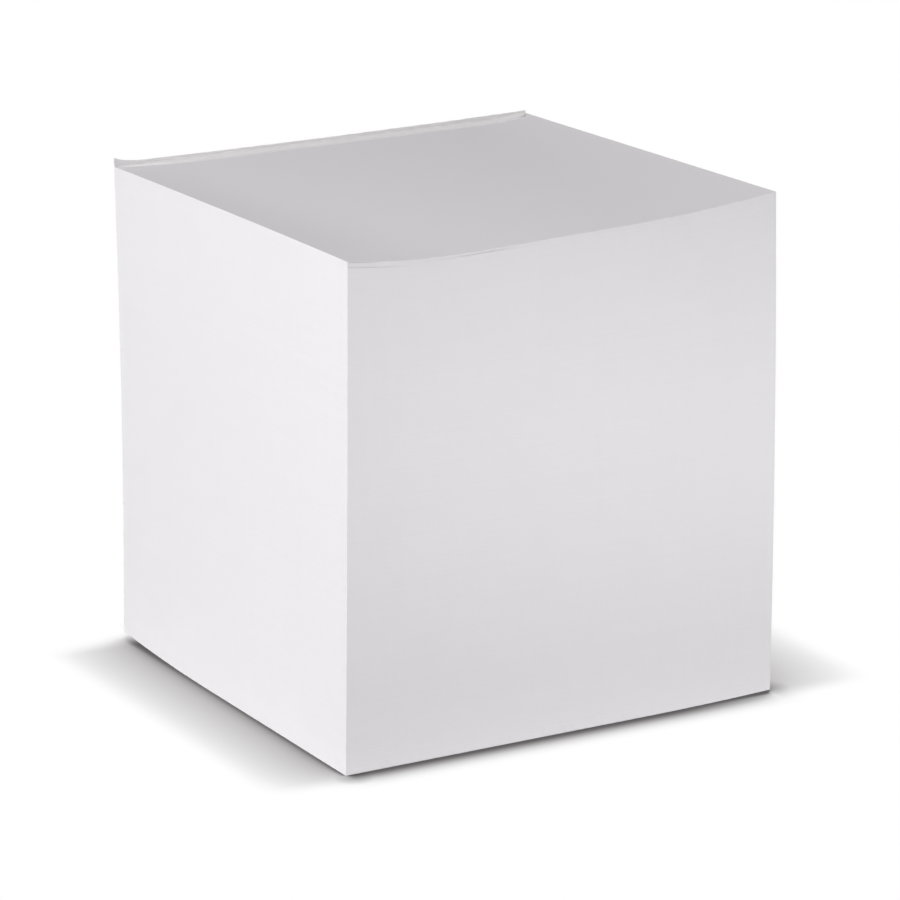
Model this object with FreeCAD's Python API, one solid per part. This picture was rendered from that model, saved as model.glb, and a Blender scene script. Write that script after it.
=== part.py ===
import FreeCAD, Part
import math
import os

# Memo cube: a block of loose white note sheets, held together by a film of padding glue down its back.
#
# Millimetres, +Z up. X runs across the front of the block and Y from its free front edge to its glued
# back. The origin is the middle of the bottom sheet, on the surface that the block stands on.
#
# A point of the stack is named by u, its share of the way across (0 left, 1 right), v, its share of the
# way back (0 front, 1 glued back), and s, its share of the way up (0 bottom sheet, 1 top sheet).

# --- the sheets
sheet_width = 100.0
sheet_depth = 100.0
stack_height = 104.5        # of the sheets, before the relief of the top one

# --- how the stack has slid, bowed and turned, from the bottom sheet to the top one
lean_right = 1.9
lean_back = 2.26
bow_right = 0.32            # sideways, at mid height
bow_forward = 0.31          # towards the front, at mid height
twist_degrees = 1.0

# --- relief of the top sheet: how far each corner of its pressed middle lies from stack_height
front_left_drop = 0.75
front_right_rise = 0.2
back_left_drop = 1.35       # the sheets are pressed thinner along the glue
back_right_drop = 3.8

# --- relief of the top sheet: its two side edges curl up
left_curl_front = 2.42
left_curl_back = 0.22
left_curl_arch = 0.25       # extra height half way back
left_curl_reach_front = 29.0        # how far in from the edge the curl begins
left_curl_reach_back = 12.0
right_curl_front = 1.67
right_curl_back = 0.92
right_curl_reach_front = 35.0
right_curl_reach_back = 14.0

# --- relief of the bottom sheet: its glued back edge and its right front corner are lifted
heel_lift_left = 1.28
heel_lift_right = 0.4
heel_lift_reach = 37.0      # how far in from the back edge the lift begins
toe_lift = 0.55
toe_lift_reach = 30.0

# --- gaps between sheets at the front left corner, under the curled edge
low_gap_below_top = 0.7
low_gap_length = 12.5
high_gap_below_top = 0.5
high_gap_start = 13.5       # from the left edge
high_gap_length = 27.0
sheet_gap = 0.12
sheet_gap_depth = 4.0       # how far in from the front

# --- the film of padding glue, its lip above the top sheet, and the horn at the lip's left end
film_thickness = 0.3
lip_middle_height = 0.9
lip_end_rise = 0.58         # extra height of the lip at its right end
lip_lowest_at = 0.36        # share of the way across
horn_rise = 1.0
horn_reach = 6.0
bead_width = 2.8            # bead of glue on the top sheet, at the foot of the lip
bead_height = 0.45
bead_edge = 0.3             # height of its front
bead_taper = 12.0           # it narrows over this length towards its left end
bead_left_width = 0.4
bead_end_gap = 0.2

# --- construction
sections = 9                # sheets that the stack's sides are drawn through
grid = 21                   # rows and columns of points that a curved face is drawn through
close_rows = 5              # of a short stretch
overrun = 1.5               # how far a cutting face runs past the stack
head_room = 8.0             # loft above stack_height, trimmed off by the top faces
clear_below = 0.02          # a cutting face stays this far under the flat underside


def sheet_point(u, v, s, z):
    """Where the point u, v of the sheet at the share s of the height lies, at the height z."""
    bow = 4.0 * s * (1.0 - s)
    turn = math.radians(twist_degrees) * s * s
    x = (u - 0.5) * sheet_width
    y = (v - 0.5) * sheet_depth
    shift_x = lean_right * s + bow_right * bow
    shift_y = lean_back * s - bow_forward * bow
    return FreeCAD.Vector(x * math.cos(turn) - y * math.sin(turn) + shift_x,
                          x * math.sin(turn) + y * math.cos(turn) + shift_y, z)


def rise(distance, reach):
    """1 at a distance of 0, falling in a parabola to 0 at the reach."""
    return max(0.0, 1.0 - distance / reach) ** 2


def between(front, back, v):
    return front * (1.0 - v) + back * v


def pressed_height(u, v):
    """Height of the top sheet's pressed middle, carried on straight to all four edges."""
    left = between(-front_left_drop, -back_left_drop, v)
    right = between(front_right_rise, -back_right_drop, v)
    return stack_height + left * (1.0 - u) + right * u


def top_height(u, v):
    """Height of the top sheet: its pressed middle and its curled side edges."""
    left = between(left_curl_front, left_curl_back, v) + left_curl_arch * 4.0 * v * (1.0 - v)
    left *= rise(u * sheet_width, between(left_curl_reach_front, left_curl_reach_back, v))
    right = between(right_curl_front, right_curl_back, v)
    right *= rise((1.0 - u) * sheet_width, between(right_curl_reach_front, right_curl_reach_back, v))
    return pressed_height(u, v) + left + right


def underside_height(u, v):
    """Height of the bottom sheet: 0, with its back edge and its right front corner lifted."""
    heel = heel_lift_left * (1.0 - u) + heel_lift_right * u
    heel *= rise((1.0 - v) * sheet_depth, heel_lift_reach)
    toe = toe_lift * rise((1.0 - u) * sheet_width, toe_lift_reach) * rise(v * sheet_depth, toe_lift_reach)
    return heel + toe


def lip_height(u):
    """Height of the lip's crest: a shallow dip between its ends, and the horn at the left."""
    half = max(lip_lowest_at, 1.0 - lip_lowest_at)
    dip = ((u - lip_lowest_at) / half) ** 2
    horn = horn_rise * rise(max(u, 0.0) * sheet_width, horn_reach)
    return pressed_height(u, 1.0) + lip_middle_height + lip_end_rise * dip + horn


def steps(low, high, count):
    return [low + (high - low) * i / (count - 1.0) for i in range(count)]


def shares_across():
    """Values of u that cover the width and run past it at both ends, closer together at the horn."""
    past = overrun / sheet_width
    near = horn_reach / sheet_width
    close = steps(0.0, near, close_rows)
    return [-past] + close + steps(near, 1.0, grid)[1:] + [1.0 + past]


def shares_deep():
    """Values of v that cover the depth and run past it at both ends."""
    past = overrun / sheet_depth
    return [-past] + steps(0.0, 1.0, grid) + [1.0 + past]


def curved_face(rows):
    """A smooth face through rows of points."""
    surface = Part.BSplineSurface()
    surface.interpolate(rows)
    return surface.toShape()


def sheet_face(height_at, us, vs, s):
    """A face over the plan of the sheet at the share s, as high over each point as height_at says."""
    return curved_face([[sheet_point(u, v, s, height_at(u, v)) for v in vs] for u in us])


def prism_over(plan):
    """An upright prism through the top of the stack, over a plan given as pairs of u and v."""
    low = stack_height - head_room
    points = [sheet_point(u, v, 1.0, low) for u, v in plan]
    outline = Part.makePolygon(points + points[:1])
    return Part.Face(outline).extrude(FreeCAD.Vector(0, 0, 2.0 * head_room))


def full_stack():
    """The sheets and the glue film as one body, flat below and trimmed to height later."""
    back = 1.0 + film_thickness / sheet_depth
    wires = []
    for z in steps(0.0, stack_height + head_room, sections):
        corners = [sheet_point(u, v, z / stack_height, z) for u, v in ((0, 0), (1, 0), (1, back), (0, back))]
        wires.append(Part.makePolygon(corners + corners[:1]))
    return Part.makeLoft(wires, True, False)


def space_behind_sheets():
    """Everything behind the sheets' glued edges."""
    past = overrun / sheet_width
    levels = steps(-overrun, stack_height + head_room + overrun, sections)
    rows = [[sheet_point(u, 1.0, z / stack_height, z) for z in levels]
            for u in steps(-past, 1.0 + past, close_rows)]
    return curved_face(rows).extrude(FreeCAD.Vector(0, film_thickness + overrun, 0))


def space_below_sheets():
    """The hollow under the lifted back edge and the lifted front corner."""
    face = sheet_face(lambda u, v: underside_height(u, v) - clear_below, shares_across(), shares_deep(), 0.0)
    return face.extrude(FreeCAD.Vector(0, 0, -overrun - max(heel_lift_left, heel_lift_right, toe_lift)))


def space_above(height_at, us, vs):
    return sheet_face(height_at, us, vs, 1.0).extrude(FreeCAD.Vector(0, 0, 2.0 * head_room))


def gap_between_sheets(start, tip, end, below_top):
    """A thin gap that follows the top sheet at a set depth: a triangle in plan, open at the front edge.

    start and end are where it opens, and tip is where it reaches furthest in, all from the left edge.
    """
    past = overrun / sheet_depth
    deep = sheet_gap_depth / sheet_depth
    us = steps(start / sheet_width, end / sheet_width, grid)
    leaf = sheet_face(lambda u, v: top_height(u, v) - below_top, us, steps(-past, deep, grid), 1.0)
    leaf = leaf.extrude(FreeCAD.Vector(0, 0, -sheet_gap))
    plan = ((us[0], -past), (us[-1], -past), (tip / sheet_width, deep))
    return leaf.common(prism_over(plan))


def paper_block(stack, behind, below, above):
    low_gap = gap_between_sheets(-overrun, -overrun, low_gap_length, low_gap_below_top)
    high_gap_end = high_gap_start + high_gap_length
    high_gap_tip = high_gap_start + 0.5 * high_gap_length
    high_gap = gap_between_sheets(high_gap_start, high_gap_tip, high_gap_end, high_gap_below_top)
    block = stack.cut(behind).cut(above).cut(below)
    return block.cut(low_gap).cut(high_gap)


def glue_bead(above):
    """The bead of glue along the foot of the lip, with an upright front and a crowned top."""
    left = bead_end_gap / sheet_width
    full = bead_taper / sheet_width
    right = 1.0 - left
    left_foot = 1.0 - bead_left_width / sheet_depth
    foot = 1.0 - bead_width / sheet_depth
    heel = 1.0 + 0.5 * film_thickness / sheet_depth
    prism = prism_over(((left, left_foot), (full, foot), (right, foot), (right, heel), (left, heel)))

    def bead_top(u, v):
        crown = 1.0 - rise(v - foot, 1.0 - foot)
        return top_height(u, v) + bead_edge + (bead_height - bead_edge) * crown

    rows = steps(foot - overrun / sheet_depth, 1.0 + overrun / sheet_depth, 2 * close_rows)
    return prism.common(above).cut(space_above(bead_top, shares_across(), rows))


def glue_binding(stack, behind, below, above):
    rows = steps(1.0 - 2.0 * bead_width / sheet_depth, 1.0 + overrun / sheet_depth, close_rows)
    over_lip = space_above(lambda u, v: lip_height(u), shares_across(), rows)
    film = stack.common(behind).cut(below)
    return film.cut(over_lip).fuse(glue_bead(above).cut(over_lip)).removeSplitter()


def save(shape, name):
    print(name, "valid", shape.isValid(), "solids", len(shape.Solids), "volume", round(shape.Volume, 1))
    shape.Solids[0].exportStep(os.path.join("parts", name + ".step"))


os.makedirs("parts", exist_ok=True)
whole = full_stack()
glued_side = space_behind_sheets()
hollow = space_below_sheets()
over_top = space_above(top_height, shares_across(), shares_deep())
save(paper_block(whole, glued_side, hollow, over_top), "paper_block")
save(glue_binding(whole, glued_side, hollow, over_top), "glue_binding")
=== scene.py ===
"""A plain white memo cube: a block of loose note sheets, held together by a film of padding glue.

The shape is worked out in millimetres and put into the meshes in metres. X runs across the front, Y from
the free front edge to the glued back, Z up. A point of the stack is named by u, its share of the way
across (0 left, 1 right), v, its share of the way back (0 front, 1 glued back), and s, its share of the
way up (0 bottom sheet, 1 top sheet).
"""
import math

import bpy
import numpy as np
from mathutils import Matrix, Quaternion, Vector


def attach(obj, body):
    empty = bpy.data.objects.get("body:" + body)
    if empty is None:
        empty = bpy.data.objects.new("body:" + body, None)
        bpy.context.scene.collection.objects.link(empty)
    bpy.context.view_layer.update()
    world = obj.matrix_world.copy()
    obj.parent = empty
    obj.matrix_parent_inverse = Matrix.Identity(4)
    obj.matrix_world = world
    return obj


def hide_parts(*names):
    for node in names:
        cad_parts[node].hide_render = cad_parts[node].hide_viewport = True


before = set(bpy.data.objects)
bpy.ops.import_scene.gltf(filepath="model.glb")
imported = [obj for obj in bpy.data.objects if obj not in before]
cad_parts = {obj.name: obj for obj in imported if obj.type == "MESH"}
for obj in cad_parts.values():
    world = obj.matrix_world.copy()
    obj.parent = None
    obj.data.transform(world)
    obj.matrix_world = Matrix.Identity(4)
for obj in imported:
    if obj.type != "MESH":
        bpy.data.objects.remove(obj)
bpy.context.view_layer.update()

MM = 0.001

# --- the stack: the same sizes as its solid has, in millimetres
sheet_width = 100.0
sheet_depth = 100.0
stack_height = 104.5
lean_right = 1.9
lean_back = 2.26
bow_right = 0.32
bow_forward = 0.31
twist = math.radians(1.0)

# --- relief of the top sheet
front_left_drop = 0.75
front_right_rise = 0.2
back_left_drop = 1.35
back_right_drop = 3.8
left_curl_front = 2.42
left_curl_back = 0.22
left_curl_arch = 0.25
left_curl_reach_front = 29.0
left_curl_reach_back = 12.0
right_curl_front = 1.67
right_curl_back = 0.92
right_curl_reach_front = 35.0
right_curl_reach_back = 14.0

# --- relief of the bottom sheet
heel_lift_left = 1.28
heel_lift_right = 0.4
heel_lift_reach = 37.0
toe_lift = 0.55
toe_lift_reach = 30.0

# --- gaps between the sheets under the curled front left corner
low_gap_below_top = 1.08
low_gap_length = 14.0
high_gap_below_top = 0.5
high_gap_start = 13.5
high_gap_length = 27.0
leaf_gap_below_top = 0.12
leaf_gap_length = 7.0
sheet_gap = 0.08
low_gap_share = 0.62        # how far it opens, as a share of sheet_gap
leaf_gap_share = 0.75
sheet_gap_depth = 4.0
closed_gap = 0.004          # what is left of a gap where the sheets lie on one another
closed_gap_depth = 0.03

# --- the film of padding glue
film_thickness = 0.3
lip_middle_height = 0.9
lip_end_rise = 0.58
lip_lowest_at = 0.36
horn_rise = 1.0
horn_reach = 6.0
bead_width = 2.8
bead_height = 0.45
bead_front = 0.4            # how far in from its foot the bead is rounded
bead_taper_left = 20.0      # over which the bead runs out towards each end
bead_taper_right = 3.0
bead_least = 0.02           # share of its width that is left at the very ends
lip_ripple = 0.03
brush_relief = 0.02
brush_sway = 0.8
film_tuck = 0.02            # how far the bead's foot reaches below the top sheet's surface

# --- the sheets as they lie
sheets = 870
columns = 26                # of the stack's mesh along each side
crowding = 0.6              # how much closer together they are at the corners
slide_fine = 0.003          # how far a sheet lies out of line with the next, at the free front edge
slide_slow = 0.012          # how far the stack wanders over many sheets
fan_share = 0.15            # share of a sheet's slide that is left at the glued edge

# --- steps of the film's mesh
film_columns = 170
film_rows = 260
bead_rows = 13
lip_rows = 5
crest_points = 4

# --- light: name, place, what it points at, turn in degrees, size in metres, and power in watts
lamps = (
    ("corner_box", (-0.49, -0.49, 0.58), (0.0, 0.0, 0.05), 0.0, (0.5, 0.5), 4.1),
    ("left_box", (-0.55, 0.0, 0.17), (0.0, 0.0, 0.06), 0.0, (0.5, 0.36), 1.215),
    ("high_back_box", (0.0, 0.375, 0.977), (0.0, 0.0, 0.05), 0.0, (0.4, 0.4), 2.74),
    ("front_strip", (0.06, -0.135, 0.06), (0.06, -0.05, 0.06), -8.0, (0.24, 0.02), 0.0425),
    ("front_floor", (-0.001, -0.055, 0.0002), (-0.001, -0.055, 1.0), 0.0, (0.11, 0.01), 0.0007),
    ("left_floor", (-0.055, 0.0, 0.0002), (-0.055, 0.0, 1.0), 0.0, (0.01, 0.1), 0.0003),
    ("right_box", (0.5, 0.0, 0.055), (0.0, 0.0, 0.055), 0.0, (0.4, 0.09), 1.4),
    ("back_box", (0.0, 0.5, 0.055), (0.0, 0.0, 0.055), 0.0, (0.4, 0.09), 0.9),
)
ambient_light = 0.02

# --- camera: angles in degrees, places in millimetres
camera_azimuth = -28.92
camera_elevation = 17.13
camera_roll = -0.54
camera_distance = 1333.75
camera_aim = (1.33, -1.62, 47.49)
camera_lens = 255.9
camera_far_end = 20.0       # metres

# --- the floor and the block's soft shadow on it, in metres
floor_half = 4.0
floor_grey = (0.7, 0.7, 0.7, 1.0)       # for the light that it throws back
white = (1.0, 1.0, 1.0, 1.0)
half_side = 0.05
shadow_end = 0.08           # further out, the floor is plain white
side_reach = (0.0200, 0.0248)           # of the shadows beside the block, at the left and at the right
front_reach = 0.0097        # of the shadow in front and behind
side_edge = (0.0495, 0.0515)            # across, where the shadow of the sides takes over
side_front = (-0.056, -0.0485)          # the front end of the shadow of the sides
back_edge = (0.044, 0.0545)             # the back end of all shadow near the back corners
back_corner = (0.044, 0.049)            # across, what counts as near
toe_across = (0.025, 0.05)              # the lighter shadow under the lifted front corner
toe_front = (-0.0500, -0.0515)
toe_lighter = 0.25
foot_across = (0.0495, 0.0505)          # the outline of the block's foot
foot_front = (-0.0495, -0.0505)
corner_shades = (((-0.0492, -0.052, 0.0), 0.44, 0.0042), ((0.0512, -0.0478, 0.0), 0.38, 0.0045))
side_shadow = ((0.52, 0.19), (0.548, 0.31), (0.578, 0.415), (0.609, 0.487), (0.65, 0.545),
               (0.73, 0.615), (0.868, 0.745), (0.935, 0.84), (1.0, 1.0))
front_shadow = ((0.56, 0.115), (0.591, 0.145), (0.624, 0.2), (0.656, 0.275), (0.718, 0.44),
                (0.776, 0.617), (0.835, 0.76), (0.933, 0.94), (1.0, 1.0))
shadow_red = 0.045          # how much the shadow leans to red and to blue where it is darkest
shadow_blue = 0.012


def rise(distance, reach):
    """1 at a distance of 0, falling in a parabola to 0 at the reach."""
    return np.clip(1.0 - distance / reach, 0.0, None) ** 2


def between(front, back, v):
    """A straight line from the front value to the back one."""
    return front * (1.0 - v) + back * v


def pressed_height(u, v):
    """Height of the top sheet's pressed middle: a plane bent to four corner heights."""
    left = between(-front_left_drop, -back_left_drop, v)
    right = between(front_right_rise, -back_right_drop, v)
    return stack_height + left * (1.0 - u) + right * u


def top_height(u, v):
    """The pressed middle, and a parabola up to each side edge."""
    left = between(left_curl_front, left_curl_back, v) + left_curl_arch * 4.0 * v * (1.0 - v)
    left = left * rise(u * sheet_width, between(left_curl_reach_front, left_curl_reach_back, v))
    right = between(right_curl_front, right_curl_back, v)
    right = right * rise((1.0 - u) * sheet_width, between(right_curl_reach_front, right_curl_reach_back, v))
    return pressed_height(u, v) + left + right


def underside_height(u, v):
    """Height of the bottom sheet: 0, with its back edge and its right front corner lifted."""
    heel = between(heel_lift_left, heel_lift_right, u) * rise((1.0 - v) * sheet_depth, heel_lift_reach)
    toe = toe_lift * rise((1.0 - u) * sheet_width, toe_lift_reach) * rise(v * sheet_depth, toe_lift_reach)
    return heel + toe


def sheet_height(u, v, s):
    """The share s of the stack's height, with the top sheet's relief fading downwards as the square of s,
    and the bottom sheet's fading upwards as the square of 1 - s."""
    relief = (top_height(u, v) - stack_height) * s ** 2 + underside_height(u, v) * (1.0 - s) ** 2
    return stack_height * s + relief


def sheet_plan(u, v, z):
    """Where u, v lies at the height z: the sheet turned about its middle by the square of the share of the
    height, and shifted by the lean, and by the bow, which is a parabola in the share."""
    s = z / stack_height
    turn = twist * s * s
    bow = 4.0 * s * (1.0 - s)
    x = (u - 0.5) * sheet_width
    y = (v - 0.5) * sheet_depth
    return (x * np.cos(turn) - y * np.sin(turn) + lean_right * s + bow_right * bow,
            x * np.sin(turn) + y * np.cos(turn) + lean_back * s - bow_forward * bow)


def close_to_ends(count):
    """Shares from 0 to 1, closer together at both ends: t less a sine wave, crowding sin(2 pi t) / 2 pi."""
    t = np.linspace(0.0, 1.0, count + 1)
    return t - crowding * np.sin(2.0 * np.pi * t) / (2.0 * np.pi)


def wander(along, seed, waves, longest, shortest):
    """A smooth random line between about -1 and 1: sine waves of random length and phase, added up."""
    rng = np.random.RandomState(seed)
    lengths = np.exp(rng.uniform(math.log(shortest), math.log(longest), waves))
    phases = rng.uniform(0.0, 2.0 * np.pi, waves)
    total = np.sin(2.0 * np.pi * along[..., None] / lengths + phases).sum(axis=-1)
    return total / math.sqrt(waves)


def quads_between(rows):
    """Four-sided faces between rows of vertex numbers, all facing the same way."""
    return np.stack([rows[:-1, :-1], rows[:-1, 1:], rows[1:, 1:], rows[1:, :-1]], axis=-1).reshape(-1, 4)


def new_piece(name, points_mm, quads, smooth, material):
    """A mesh object of the given points and four-sided faces, riding on the part's one body. Where a smooth
    face meets a flat one, the edge between them is sharp."""
    mesh = bpy.data.meshes.new(name)
    mesh.vertices.add(len(points_mm))
    mesh.vertices.foreach_set("co", (points_mm * MM).astype(np.float32).ravel())
    mesh.loops.add(quads.size)
    mesh.loops.foreach_set("vertex_index", quads.astype(np.int32).ravel())
    mesh.polygons.add(len(quads))
    mesh.polygons.foreach_set("loop_start", np.arange(0, quads.size, 4, dtype=np.int32))
    mesh.polygons.foreach_set("use_smooth", smooth)
    mesh.update(calc_edges=True)
    edge_of_loop = np.empty(quads.size, dtype=np.int32)
    mesh.loops.foreach_get("edge_index", edge_of_loop)
    sharp = np.zeros(len(mesh.edges), dtype=bool)
    sharp[edge_of_loop.reshape(-1, 4)[~smooth]] = True
    mesh.edges.foreach_set("use_edge_sharp", sharp)
    mesh.materials.append(material)
    piece = bpy.data.objects.new(name, mesh)
    bpy.context.scene.collection.objects.link(piece)
    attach(piece, "root")
    return piece


def put_attribute(piece, name, domain, values):
    """One number for each point or face of a piece, which its material reads."""
    piece.data.attributes.new(name, "FLOAT", domain).data.foreach_set("value", values.astype(np.float32))


# ---------------------------------------------------------------- shader nodes

def node(tree, kind, inputs=(), **settings):
    """Adds a node with its settings. inputs are pairs of a socket's name or number, and a value or a link."""
    made = tree.nodes.new(kind)
    for name, value in settings.items():
        setattr(made, name, value)
    for name, value in inputs:
        if isinstance(value, bpy.types.NodeSocket):
            tree.links.new(value, made.inputs[name])
        else:
            made.inputs[name].default_value = value
    return made


def maths(tree, operation, *values):
    """A sum on numbers or links."""
    return node(tree, "ShaderNodeMath", enumerate(values), operation=operation).outputs[0]


def weighted(tree, first, *pairs):
    """first, plus each value times its weight."""
    total = first
    for value, weight in pairs:
        total = maths(tree, "MULTIPLY_ADD", value, weight, total)
    return total


def mixed_colour(tree, factor, first, second):
    """The first colour where the factor is 0, and the second where it is 1."""
    return node(tree, "ShaderNodeMix", [(0, factor), (6, first), (7, second)], data_type="RGBA").outputs[2]


def scaled_colour(tree, colour, factor):
    """A colour times a number."""
    return node(tree, "ShaderNodeVectorMath", [(0, colour), ("Scale", factor)], operation="SCALE").outputs[0]


def attribute(tree, name):
    """The number that put_attribute gave the piece."""
    return node(tree, "ShaderNodeAttribute", attribute_name=name).outputs["Fac"]


def new_group(name, inputs, outputs):
    """An empty shader group. An input with a default of None is a vector, and all else is a number."""
    group = bpy.data.node_groups.new(name, "ShaderNodeTree")
    for label, default in inputs:
        kind = "NodeSocketVector" if default is None else "NodeSocketFloat"
        socket = group.interface.new_socket(label, in_out="INPUT", socket_type=kind)
        if default is not None:
            socket.default_value = default
    for label in outputs:
        group.interface.new_socket(label, in_out="OUTPUT", socket_type="NodeSocketFloat")
    return group, group.nodes.new("NodeGroupInput").outputs, group.nodes.new("NodeGroupOutput").inputs


def sheet_edges_group():
    """The edges of stacked sheets. Level is a height counted in sheets. Joint is 1 in the joint between two
    sheets, Tone is a random value from -1 to 1 for each sheet, and Height is a sheet's rounded edge."""
    group, given, put = new_group("sheet_edges", [("Level", 0.0), ("Joint Width", 0.3)],
                                  ["Joint", "Tone", "Height"])
    share = maths(group, "FRACT", given["Level"])
    from_middle = maths(group, "ABSOLUTE", maths(group, "MULTIPLY_ADD", share, 2.0, -1.0))
    start = maths(group, "SUBTRACT", 1.0, given["Joint Width"])
    joint = node(group, "ShaderNodeMapRange", [("Value", from_middle), ("From Min", start)],
                 interpolation_type="SMOOTHSTEP").outputs["Result"]
    random = node(group, "ShaderNodeTexWhiteNoise", [("W", maths(group, "FLOOR", given["Level"]))],
                  noise_dimensions="1D").outputs["Value"]
    group.links.new(joint, put["Joint"])
    group.links.new(maths(group, "MULTIPLY_ADD", random, 2.0, -1.0), put["Tone"])
    group.links.new(maths(group, "SUBTRACT", 1.0, maths(group, "POWER", from_middle, 4.0)), put["Height"])
    return group


def grain_group():
    """Soft random grain from about -1 to 1, with its own number of grains per metre along each axis."""
    group, given, put = new_group("grain", [("Place", None), ("Along X", 100.0), ("Along Y", 100.0),
                                            ("Along Z", 100.0), ("Detail", 2.0)], ["Value"])
    scale = node(group, "ShaderNodeCombineXYZ", [("X", given["Along X"]), ("Y", given["Along Y"]),
                                                 ("Z", given["Along Z"])]).outputs["Vector"]
    place = node(group, "ShaderNodeVectorMath", [(0, given["Place"]), (1, scale)],
                 operation="MULTIPLY").outputs["Vector"]
    noise = node(group, "ShaderNodeTexNoise", [("Vector", place), ("Scale", 1.0), ("Detail", given["Detail"]),
                                               ("Roughness", 0.55)]).outputs["Fac"]
    group.links.new(maths(group, "MULTIPLY_ADD", noise, 4.0, -2.0), put["Value"])
    return group


def grain(tree, group, along_x, along_y, along_z, detail):
    """The grain group on the piece's own coordinates, with grains per metre along X, Y and Z."""
    place = node(tree, "ShaderNodeTexCoord").outputs["Object"]
    sockets = [("Place", place), ("Along X", along_x), ("Along Y", along_y), ("Along Z", along_z),
               ("Detail", detail)]
    return node(tree, "ShaderNodeGroup", sockets, node_tree=group).outputs["Value"]


def new_material(name):
    """A material, its nodes and its shader."""
    material = bpy.data.materials.new(name)
    material.use_nodes = True
    return material, material.node_tree, material.node_tree.nodes["Principled BSDF"]


# ---------------------------------------------------------------- materials

def note_paper(sheet_edges, grains):
    """Uncoated white paper. The face of a sheet is slightly cloudy and fibrous. On the cut sides each sheet
    has its own tone and a darker joint, with slow bands up the stack and faint upright marks of the knife."""
    material, tree, shader = new_material("note_paper")
    cut = attribute(tree, "cut_edge")
    cloud = grain(tree, grains, 90.0, 90.0, 90.0, 2.0)
    fibre = grain(tree, grains, 2400.0, 2400.0, 2400.0, 3.0)
    knife = grain(tree, grains, 700.0, 700.0, 8.0, 3.0)
    band = grain(tree, grains, 2.0, 2.0, 240.0, 3.0)
    edge = node(tree, "ShaderNodeGroup", [("Level", attribute(tree, "level")), ("Joint Width", 0.35)],
                node_tree=sheet_edges).outputs
    on_cut = weighted(tree, 0.0, (edge["Tone"], 0.005), (edge["Joint"], -0.03), (knife, 0.003), (band, 0.003))
    tone = weighted(tree, 1.0, (cloud, 0.004), (fibre, 0.005), (on_cut, cut))
    face = mixed_colour(tree, maths(tree, "MULTIPLY_ADD", cloud, 0.5, 0.5),
                        (0.873, 0.851, 0.883, 1.0), (0.877, 0.849, 0.877, 1.0))
    shade = mixed_colour(tree, cut, face, (0.867, 0.852, 0.873, 1.0))
    tree.links.new(scaled_colour(tree, shade, tone), shader.inputs["Base Color"])
    tree.links.new(weighted(tree, 0.9, (fibre, 0.03), (cloud, 0.02)), shader.inputs["Roughness"])
    height = weighted(tree, 0.0, (fibre, 0.3), (maths(tree, "MULTIPLY", edge["Height"], cut), 0.6))
    bump = node(tree, "ShaderNodeBump", [("Strength", 0.3), ("Distance", 0.00001), ("Height", height)])
    tree.links.new(bump.outputs["Normal"], shader.inputs["Normal"])
    shader.inputs["Specular IOR Level"].default_value = 0.25
    return material


def padding_glue(sheet_edges, grains):
    """Dried padding glue: a satin film with upright brush marks, through which the sheets' edges print
    faintly, clouded where it lies thicker, with a sprinkling of small pits, and a painted highlight that
    makes the front of the bead lighter."""
    material, tree, shader = new_material("padding_glue")
    cloud = grain(tree, grains, 160.0, 160.0, 120.0, 3.0)
    brush = grain(tree, grains, 900.0, 900.0, 25.0, 4.0)
    pit = grain(tree, grains, 1500.0, 1500.0, 1500.0, 1.0)
    edge = node(tree, "ShaderNodeGroup", [("Level", attribute(tree, "level")), ("Joint Width", 0.5)],
                node_tree=sheet_edges).outputs
    # the front of the bead is painted 6 % lighter: a painted highlight along its ridge
    tone = weighted(tree, 1.0, (cloud, 0.01), (brush, 0.01), (edge["Tone"], 0.006), (edge["Joint"], -0.02),
                    (attribute(tree, "bead_front"), 0.06))
    shade = mixed_colour(tree, maths(tree, "MULTIPLY_ADD", brush, 0.4, 0.5),
                         (0.868, 0.853, 0.853, 1.0), (0.872, 0.850, 0.861, 1.0))
    tree.links.new(scaled_colour(tree, shade, tone), shader.inputs["Base Color"])
    tree.links.new(weighted(tree, 0.5, (cloud, 0.06), (brush, 0.05)), shader.inputs["Roughness"])
    tree.links.new(weighted(tree, 0.12, (cloud, 0.08)), shader.inputs["Coat Weight"])
    pits = maths(tree, "MAXIMUM", pit, 0.5)
    height = weighted(tree, 0.0, (brush, 0.5), (pits, -0.5), (edge["Height"], 0.25))
    bump = node(tree, "ShaderNodeBump", [("Strength", 0.4), ("Distance", 0.00002), ("Height", height)])
    tree.links.new(bump.outputs["Normal"], shader.inputs["Normal"])
    shader.inputs["Coat Roughness"].default_value = 0.25
    return material


# ---------------------------------------------------------------- the block of sheets

def perimeter_shares():
    """u and v of the points round a sheet: along the front, the right, the glued back and the left."""
    t = close_to_ends(columns)[:-1]
    zero = np.zeros_like(t)
    one = np.ones_like(t)
    return np.concatenate([t, one, 1.0 - t, zero]), np.concatenate([zero, t, one, 1.0 - t])


def gap_opening(u, v, start, end, share):
    """How open a gap is round the sheet. Along the front edge it is 6.75 w w (1 - w), which peaks at 1, times
    the given share, where w is the share of the way from the start to the end. Past the corner it closes in a
    straight line."""
    w = np.clip((u * sheet_width - start) / (end - start), 0.0, 1.0)
    opening = share * 6.75 * w * w * (1.0 - w)
    past_corner = np.clip(1.0 - v * sheet_depth / sheet_gap_depth, 0.0, 1.0)
    return opening * np.where(v == 0.0, 1.0, (u == 0.0) * past_corner)


def ring(u, v, s, lift, inset, slide_x, slide_y):
    """One ring of points round the stack: a sheet's outline at the share s, lifted, drawn in towards the
    middle by the inset, and slid by an amount that fades from the front edge to the glued one."""
    u_in = u + inset * ((u == 0.0) * 1.0 - (u == 1.0)) / sheet_width
    v_in = v + inset * ((v == 0.0) * 1.0 - (v == 1.0)) / sheet_depth
    z = sheet_height(u_in, v_in, s) + lift
    x, y = sheet_plan(u_in, v_in, z)
    fade = between(1.0, fan_share, v)
    return np.stack([x + slide_x * fade, y + slide_y * fade, z], axis=-1)


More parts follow.
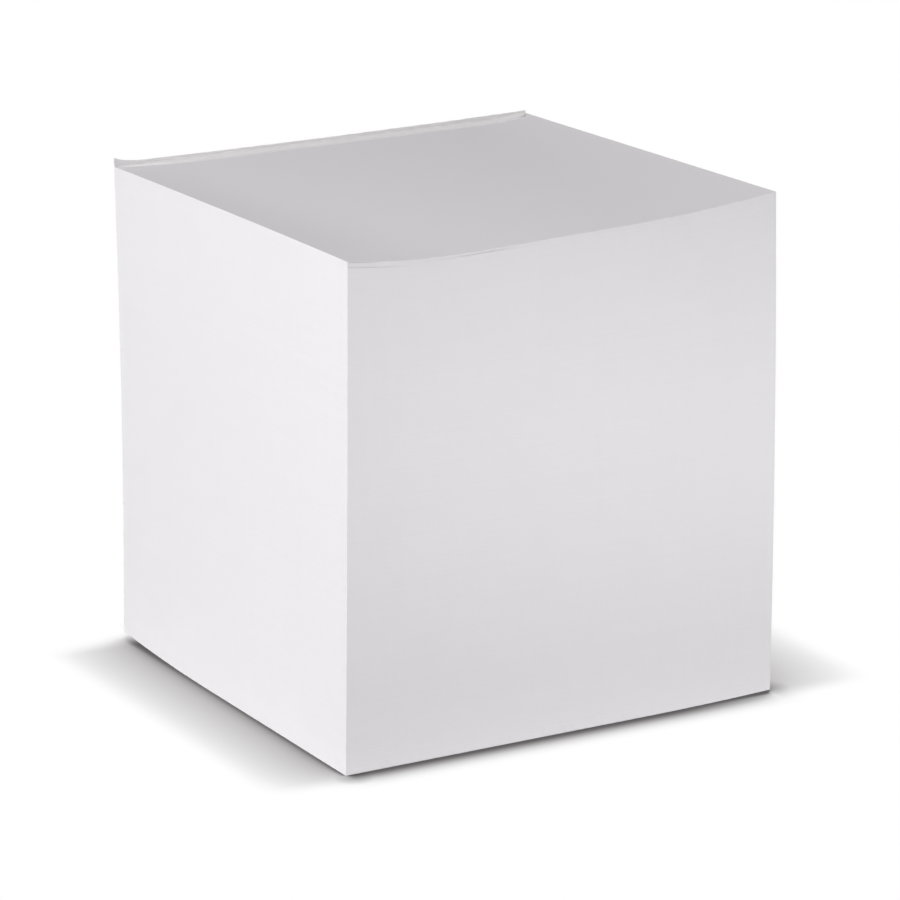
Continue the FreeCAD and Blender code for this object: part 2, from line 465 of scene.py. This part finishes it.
def block_rings():
    """Rings from the bottom sheet to the top one, one between each two sheets, and four at each gap: the
    edge below it, the two rings at its bottom, and the edge above it."""
    u, v = perimeter_shares()
    level = np.arange(sheets + 1) / sheets
    rng = np.random.RandomState(11)
    height = level * stack_height
    slow_x = wander(height, seed=12, waves=9, longest=45.0, shortest=2.5)
    slow_y = wander(height, seed=13, waves=9, longest=45.0, shortest=2.5)
    slide_x = slide_fine * rng.normal(size=sheets + 1) + slide_slow * slow_x
    slide_y = slide_fine * rng.normal(size=sheets + 1) + slide_slow * slow_y
    thickness = stack_height / sheets
    high_gap_end = high_gap_start + high_gap_length
    low, high, leaf = (sheets - round(below_top / thickness)
                       for below_top in (low_gap_below_top, high_gap_below_top, leaf_gap_below_top))
    gaps = {low: (-low_gap_length, low_gap_length, low_gap_share),
            high: (high_gap_start, high_gap_end, 1.0),
            leaf: (-leaf_gap_length, leaf_gap_length, leaf_gap_share)}
    rings = []
    ring_levels = []
    for k in range(sheets + 1):
        if k in gaps:
            opening = gap_opening(u, v, *gaps[k])
            half = 0.5 * (closed_gap + sheet_gap * opening)
            depth = closed_gap_depth + sheet_gap_depth * opening
            for lift, inset in ((-half, 0.0), (-half, depth), (half, depth), (half, 0.0)):
                rings.append(ring(u, v, level[k], lift, inset, slide_x[k], slide_y[k]))
                ring_levels.append(k)
        else:
            rings.append(ring(u, v, level[k], 0.0, 0.0, slide_x[k], slide_y[k]))
            ring_levels.append(k)
    return np.array(rings), np.array(ring_levels)


def cap_numbers(ring_numbers, first_new):
    """Vertex numbers of a grid over a whole sheet, whose outer ones are the ring's own vertices."""
    n = columns
    grid = np.empty((n + 1, n + 1), dtype=np.int64)
    grid[0, :] = ring_numbers[np.arange(0, n + 1)]
    grid[:, n] = ring_numbers[np.arange(n, 2 * n + 1)]
    grid[n, ::-1] = ring_numbers[np.arange(2 * n, 3 * n + 1)]
    grid[::-1, 0] = ring_numbers[np.arange(3 * n, 4 * n + 1) % (4 * n)]
    grid[1:n, 1:n] = first_new + np.arange((n - 1) ** 2).reshape(n - 1, n - 1)
    return grid


def cap_points(s):
    """The points inside a sheet's outline, at the share s."""
    t = close_to_ends(columns)[1:-1]
    u, v = np.meshgrid(t, t)
    z = sheet_height(u, v, s)
    x, y = sheet_plan(u, v, z)
    return np.stack([x, y, z], axis=-1).reshape(-1, 3)


def note_sheets(material):
    """The block: a wall of rings from the bottom sheet to the top one, and a curved sheet over each end."""
    rings, ring_levels = block_rings()
    count, around = rings.shape[:2]
    numbers = np.arange(count * around).reshape(count, around)
    wall = quads_between(np.concatenate([numbers, numbers[:, :1]], axis=1))
    under_points = cap_points(0.0)
    over_points = cap_points(1.0)
    first = count * around
    under = quads_between(cap_numbers(numbers[0], first))[:, ::-1]
    over = quads_between(cap_numbers(numbers[-1], first + len(under_points)))
    points = np.concatenate([rings.reshape(-1, 3), under_points, over_points])
    quads = np.concatenate([wall, under, over])
    smooth = np.concatenate([np.zeros(len(wall), dtype=bool), np.ones(len(under) + len(over), dtype=bool)])
    piece = new_piece("note_sheets", points, quads, smooth, material)
    cap_level = np.repeat([0.0, sheets], len(under_points))
    put_attribute(piece, "level", "POINT", np.concatenate([np.repeat(ring_levels, around), cap_level]))
    put_attribute(piece, "cut_edge", "FACE", 1.0 - smooth)
    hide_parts("paper_block")
    return piece


# ---------------------------------------------------------------- the film of padding glue

def lip_height(u):
    """The lip's crest: a parabola that is lowest between its ends, and the horn at the left one."""
    half = max(lip_lowest_at, 1.0 - lip_lowest_at)
    dip = ((u - lip_lowest_at) / half) ** 2
    horn = horn_rise * rise(u * sheet_width, horn_reach)
    return pressed_height(u, 1.0) + lip_middle_height + lip_end_rise * dip + horn


def film_inside(u, body, shoulder):
    """v and height up the film's inner side: along the sheets' edges, under the foot of the bead, up its
    front in a quarter of an ellipse, level over it, and straight up the lip. The bead runs out at both ends
    in parabolas."""
    top = top_height(u, 1.0)
    left = 1.0 - rise(u * sheet_width, bead_taper_left)
    right = 1.0 - rise((1.0 - u) * sheet_width, bead_taper_right)
    fullness = np.maximum(left * right, bead_least)
    q = 1.0 - np.cos(np.linspace(0.0, 0.5 * np.pi, bead_rows))[None, :]
    bead_v = 1.0 - (1.0 - q) * fullness * bead_width / sheet_depth
    climb = np.sqrt(1.0 - (1.0 - np.clip(q * bead_width / bead_front, 0.0, 1.0)) ** 2)
    bead = top_height(u, bead_v) + bead_height * climb * fullness
    lip = bead[:, -1:] + (shoulder - bead[:, -1:]) * np.linspace(0.0, 1.0, lip_rows + 1)[None, 1:]
    foot = top_height(u, bead_v[:, :1]) - film_tuck
    v = np.concatenate([np.ones_like(body), bead_v[:, :1], bead_v, np.ones_like(lip)], axis=1)
    return v, np.concatenate([body[:, :-1], top - film_tuck, foot, bead, lip], axis=1)


def film_outside(u, body, shoulder, count):
    """v and height up the film's outer side: its thickness behind the sheets, and the brush's streaks."""
    top = top_height(u, 1.0)
    upper = np.linspace(0.0, 1.0, count - film_rows + 1)[None, 1:]
    z = np.concatenate([body[:, :-1], top - film_tuck, top + (shoulder - top) * upper], axis=1)
    sway = brush_sway * wander(z, seed=32, waves=5, longest=90.0, shortest=20.0)
    streaks = brush_relief * wander(u * sheet_width + sway, seed=33, waves=16, longest=12.0, shortest=1.2)
    streaks = streaks * np.clip((shoulder - z) / film_thickness, 0.0, 1.0)
    return 1.0 + (film_thickness + streaks) / sheet_depth, z


def film_loops():
    """A closed loop of points for each u: up the inner side, over the lip in a half circle, and down the
    outer side. Returns the points, the height of each counted in sheets, how near it is to the front of the
    bead, where the glue's material paints a highlight, and the number of points up the inner side."""
    u = close_to_ends(film_columns)[:, None]
    share = np.linspace(0.0, 1.0, film_rows)[None, :]
    body = sheet_height(u, 1.0, share)
    radius = 0.5 * film_thickness
    ripple = lip_ripple * wander(u * sheet_width, seed=31, waves=9, longest=40.0, shortest=3.0)
    shoulder = lip_height(u) + ripple - radius
    inner_v, inner_z = film_inside(u, body, shoulder)
    side = inner_z.shape[1]
    outer_v, outer_z = film_outside(u, body, shoulder, side)
    angle = np.pi * np.arange(1, crest_points + 1)[None, :] / (crest_points + 1)
    crest_v = 1.0 + (radius - radius * np.cos(angle) + 0.0 * u) / sheet_depth
    crest_z = shoulder + radius * np.sin(angle)
    v = np.concatenate([inner_v, crest_v, outer_v[:, ::-1]], axis=1)
    z = np.concatenate([inner_z, crest_z, outer_z[:, ::-1]], axis=1)
    x, y = sheet_plan(u, v, z)
    above_the_sheets = sheets + 0.5
    level = np.full(z.shape, above_the_sheets)
    level[:, -film_rows:] = sheets * share[:, ::-1]
    bead_highlight_share = np.zeros(z.shape)
    first = film_rows + 1
    bead_highlight_share[:, first:first + bead_rows] = np.linspace(1.0, 0.0, bead_rows)
    return np.stack([x, y, z], axis=-1), level, bead_highlight_share, side


def film_end(loop, side):
    """Four-sided faces that close the film at one end: between its two sides, and inside the lip's crest."""
    inner = loop[:side + 1]
    outer = loop[side + crest_points - 1:][::-1]
    crest = loop[side:side + crest_points].reshape(1, -1)
    return np.concatenate([quads_between(np.stack([inner, outer])), crest])


def glue_film(material):
    """The film: closed loops side by side from its left end to its right one, with a flat face at each."""
    points, level, bead_highlight_share, side = film_loops()
    count, around = level.shape
    numbers = np.arange(count * around).reshape(count, around)
    wall = quads_between(np.concatenate([numbers, numbers[:, :1]], axis=1))[:, ::-1]
    left = film_end(numbers[0], side)
    right = film_end(numbers[-1], side)[:, ::-1]
    quads = np.concatenate([wall, left, right])
    smooth = np.arange(len(quads)) < len(wall)
    piece = new_piece("glue_film", points.reshape(-1, 3), quads, smooth, material)
    put_attribute(piece, "level", "POINT", level.ravel())
    # how near each point is to the front of the bead, which padding_glue paints lighter as a painted
    # highlight
    put_attribute(piece, "bead_front", "POINT", bead_highlight_share.ravel())
    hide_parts("glue_binding")
    return piece


# ---------------------------------------------------------------- camera, floor and light

def aim_camera():
    """A long lens, far away and a little to the left, looking down on the block."""
    azimuth = math.radians(camera_azimuth)
    elevation = math.radians(camera_elevation)
    roll = math.radians(camera_roll)
    forward = Vector((-math.sin(azimuth) * math.cos(elevation), math.cos(azimuth) * math.cos(elevation),
                      -math.sin(elevation)))
    right = forward.cross(Vector((0, 0, 1))).normalized()
    up = right.cross(forward)
    turned_right = math.cos(roll) * right + math.sin(roll) * up
    turned_up = turned_right.cross(forward)
    camera = bpy.data.objects.new("camera", bpy.data.cameras.new("camera"))
    camera.data.lens = camera_lens
    camera.data.clip_end = camera_far_end
    turn = Matrix((turned_right, turned_up, -forward)).transposed()
    place = (Vector(camera_aim) - forward * camera_distance) * MM
    camera.matrix_world = Matrix.Translation(place) @ turn.to_4x4()
    bpy.context.scene.collection.objects.link(camera)
    bpy.context.scene.camera = camera


def seen_directly(tree):
    """1 for a ray from the camera, or one that metal or glass passes on, and 0 for one that gathers light."""
    path = node(tree, "ShaderNodeLightPath").outputs
    shiny = maths(tree, "MAXIMUM", path["Is Glossy Ray"], path["Is Transmission Ray"])
    return maths(tree, "MAXIMUM", path["Is Camera Ray"], shiny)


def shadow_ramp(tree, value, stops):
    """A ramp through pairs of a place and a brightness, a touch warmer where it is darker."""
    made = node(tree, "ShaderNodeValToRGB", [("Fac", value)])
    elements = made.color_ramp.elements
    for place, brightness in stops[1:-1]:
        elements.new(place)
    for element, (place, brightness) in zip(elements, stops):
        element.position = place
        dark = 1.0 - brightness
        element.color = (brightness * (1.0 + shadow_red * dark), brightness,
                         brightness * (1.0 + shadow_blue * dark), 1.0)
    return made.outputs["Color"]


def step_between(tree, value, start, end):
    """0 at the start, 1 at the end, smooth between them."""
    return node(tree, "ShaderNodeMapRange", [("Value", value), ("From Min", start), ("From Max", end)],
                interpolation_type="SMOOTHSTEP").outputs["Result"]


def sky_seen(tree, reach):
    """How much of the sky near a point nothing hides within the reach: 0.5 at the foot of a wall, 1 away."""
    return node(tree, "ShaderNodeAmbientOcclusion", [("Distance", reach)], samples=64).outputs["AO"]


def corner_shade(tree, place, corner, darkest, reach):
    """How much darker the floor is by a corner: a cone of the given reach round a point of the floor."""
    apart = node(tree, "ShaderNodeVectorMath", [(0, place), (1, corner)],
                 operation="DISTANCE").outputs["Value"]
    return node(tree, "ShaderNodeMapRange", [("Value", apart), ("From Max", reach), ("To Min", darkest),
                                             ("To Max", 0.0)]).outputs["Result"]


def floor_material():
    """A white floor with the block's soft contact shadow, from how much of the sky the block hides: 20 mm
    wide at the sides, and narrower and darker in front and behind. Light falls on it as on a pale floor."""
    material, tree, shader = new_material("floor")
    place = node(tree, "ShaderNodeTexCoord").outputs["Object"]
    x, y, _ = node(tree, "ShaderNodeSeparateXYZ", [("Vector", place)]).outputs
    across = maths(tree, "ABSOLUTE", x)
    far_side = step_between(tree, across, *side_edge)
    at_back = step_between(tree, y, *back_edge)
    heel = maths(tree, "MULTIPLY", at_back, step_between(tree, across, *back_corner))
    beside = maths(tree, "MULTIPLY", far_side, step_between(tree, y, *side_front))
    beside = maths(tree, "MULTIPLY", beside, maths(tree, "SUBTRACT", 1.0, at_back))
    toe = maths(tree, "MULTIPLY_ADD", far_side, -toe_lighter, toe_lighter)
    toe = maths(tree, "MULTIPLY", toe, step_between(tree, x, *toe_across))
    toe = maths(tree, "MULTIPLY", toe, step_between(tree, y, *toe_front))
    corner = maths(tree, "MAXIMUM", *(corner_shade(tree, place, *shade) for shade in corner_shades))
    outside = maths(tree, "MAXIMUM", step_between(tree, across, *foot_across),
                    step_between(tree, y, *foot_front))
    reach = node(tree, "ShaderNodeMapRange", [("Value", x), ("From Min", -half_side), ("From Max", half_side),
                                              ("To Min", side_reach[0]), ("To Max", side_reach[1])])
    side = shadow_ramp(tree, sky_seen(tree, reach.outputs["Result"]), side_shadow)
    front = shadow_ramp(tree, sky_seen(tree, front_reach), front_shadow)
    shadow = mixed_colour(tree, beside, front, side)
    shadow = mixed_colour(tree, maths(tree, "MAXIMUM", heel, toe), shadow, white)
    kept = maths(tree, "SUBTRACT", 1.0, maths(tree, "MULTIPLY", corner, outside))
    shadow = scaled_colour(tree, shadow, kept)
    furthest = maths(tree, "MAXIMUM", across, maths(tree, "ABSOLUTE", y))
    near = maths(tree, "LESS_THAN", furthest, shadow_end)
    plain = node(tree, "ShaderNodeEmission").outputs["Emission"]
    shaded = node(tree, "ShaderNodeEmission", [("Color", shadow)]).outputs["Emission"]
    seen = node(tree, "ShaderNodeMixShader", [(0, near), (1, plain), (2, shaded)]).outputs["Shader"]
    shader.inputs["Base Color"].default_value = floor_grey
    shader.inputs["Roughness"].default_value = 1.0
    shader.inputs["Specular IOR Level"].default_value = 0.0
    both = [(0, seen_directly(tree)), (1, shader.outputs["BSDF"]), (2, seen)]
    mixed = node(tree, "ShaderNodeMixShader", both)
    tree.links.new(mixed.outputs["Shader"], tree.nodes["Material Output"].inputs["Surface"])
    return material


def lay_floor():
    """A flat square under the block."""
    mesh = bpy.data.meshes.new("floor")
    corners = [(x * floor_half, y * floor_half, 0.0) for x, y in ((-1, -1), (1, -1), (1, 1), (-1, 1))]
    mesh.from_pydata(corners, [], [(0, 1, 2, 3)])
    mesh.materials.append(floor_material())
    floor = bpy.data.objects.new("floor", mesh)
    bpy.context.scene.collection.objects.link(floor)


def white_surroundings():
    """White where it is looked at, and a faint glow as a light."""
    world = bpy.data.worlds.new("studio")
    bpy.context.scene.world = world
    world.use_nodes = True
    tree = world.node_tree
    strength = maths(tree, "MAXIMUM", seen_directly(tree), ambient_light)
    tree.links.new(strength, tree.nodes["Background"].inputs["Strength"])
    tree.nodes["Background"].inputs["Color"].default_value = white


def hang_lamps():
    """Soft boxes round the block and over it, a strip close to its front, and the glow of the lit floor."""
    for name, place, aim, turn, size, watts in lamps:
        light = bpy.data.lights.new(name, "AREA")
        light.shape = "RECTANGLE"
        light.size, light.size_y = size
        light.energy = watts
        lamp = bpy.data.objects.new(name, light)
        lamp.location = place
        track = (Vector(aim) - Vector(place)).to_track_quat("-Z", "Y")
        lamp.rotation_euler = (track @ Quaternion((0.0, 0.0, 1.0), math.radians(turn))).to_euler()
        lamp.visible_camera = False
        bpy.context.scene.collection.objects.link(lamp)


grains = grain_group()
sheet_edges = sheet_edges_group()
note_sheets(note_paper(sheet_edges, grains))
glue_film(padding_glue(sheet_edges, grains))
aim_camera()
lay_floor()
white_surroundings()
hang_lamps()
bpy.context.scene.view_settings.view_transform = "Standard"
